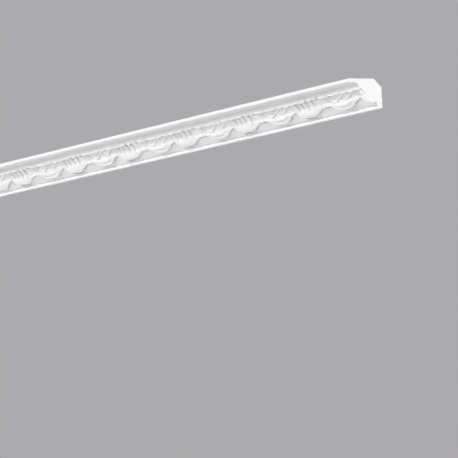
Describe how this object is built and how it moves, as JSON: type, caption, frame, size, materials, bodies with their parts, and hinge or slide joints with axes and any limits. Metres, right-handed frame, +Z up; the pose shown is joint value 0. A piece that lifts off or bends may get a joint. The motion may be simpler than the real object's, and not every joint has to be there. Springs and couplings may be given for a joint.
{
  "type": "polystyrene cornice",
  "caption": "Length of white moulded polystyrene cornice with a carved leaf-and-drape band, glued into the corner between wall and ceiling.",
  "frame": {"origin": "centre of the flat face that is glued to the wall", "axes": "+X along the moulding, towards the end that the picture shows; +Y into the wall; +Z up, towards the ceiling"},
  "size_m": [1.08, 0.045, 0.035],
  "materials": {
    "foam": "white moulded polystyrene foam with a closed, slightly beaded skin"
  },
  "bodies": {
    "root": {"cornice": "foam"}
  },
  "joints": []
}
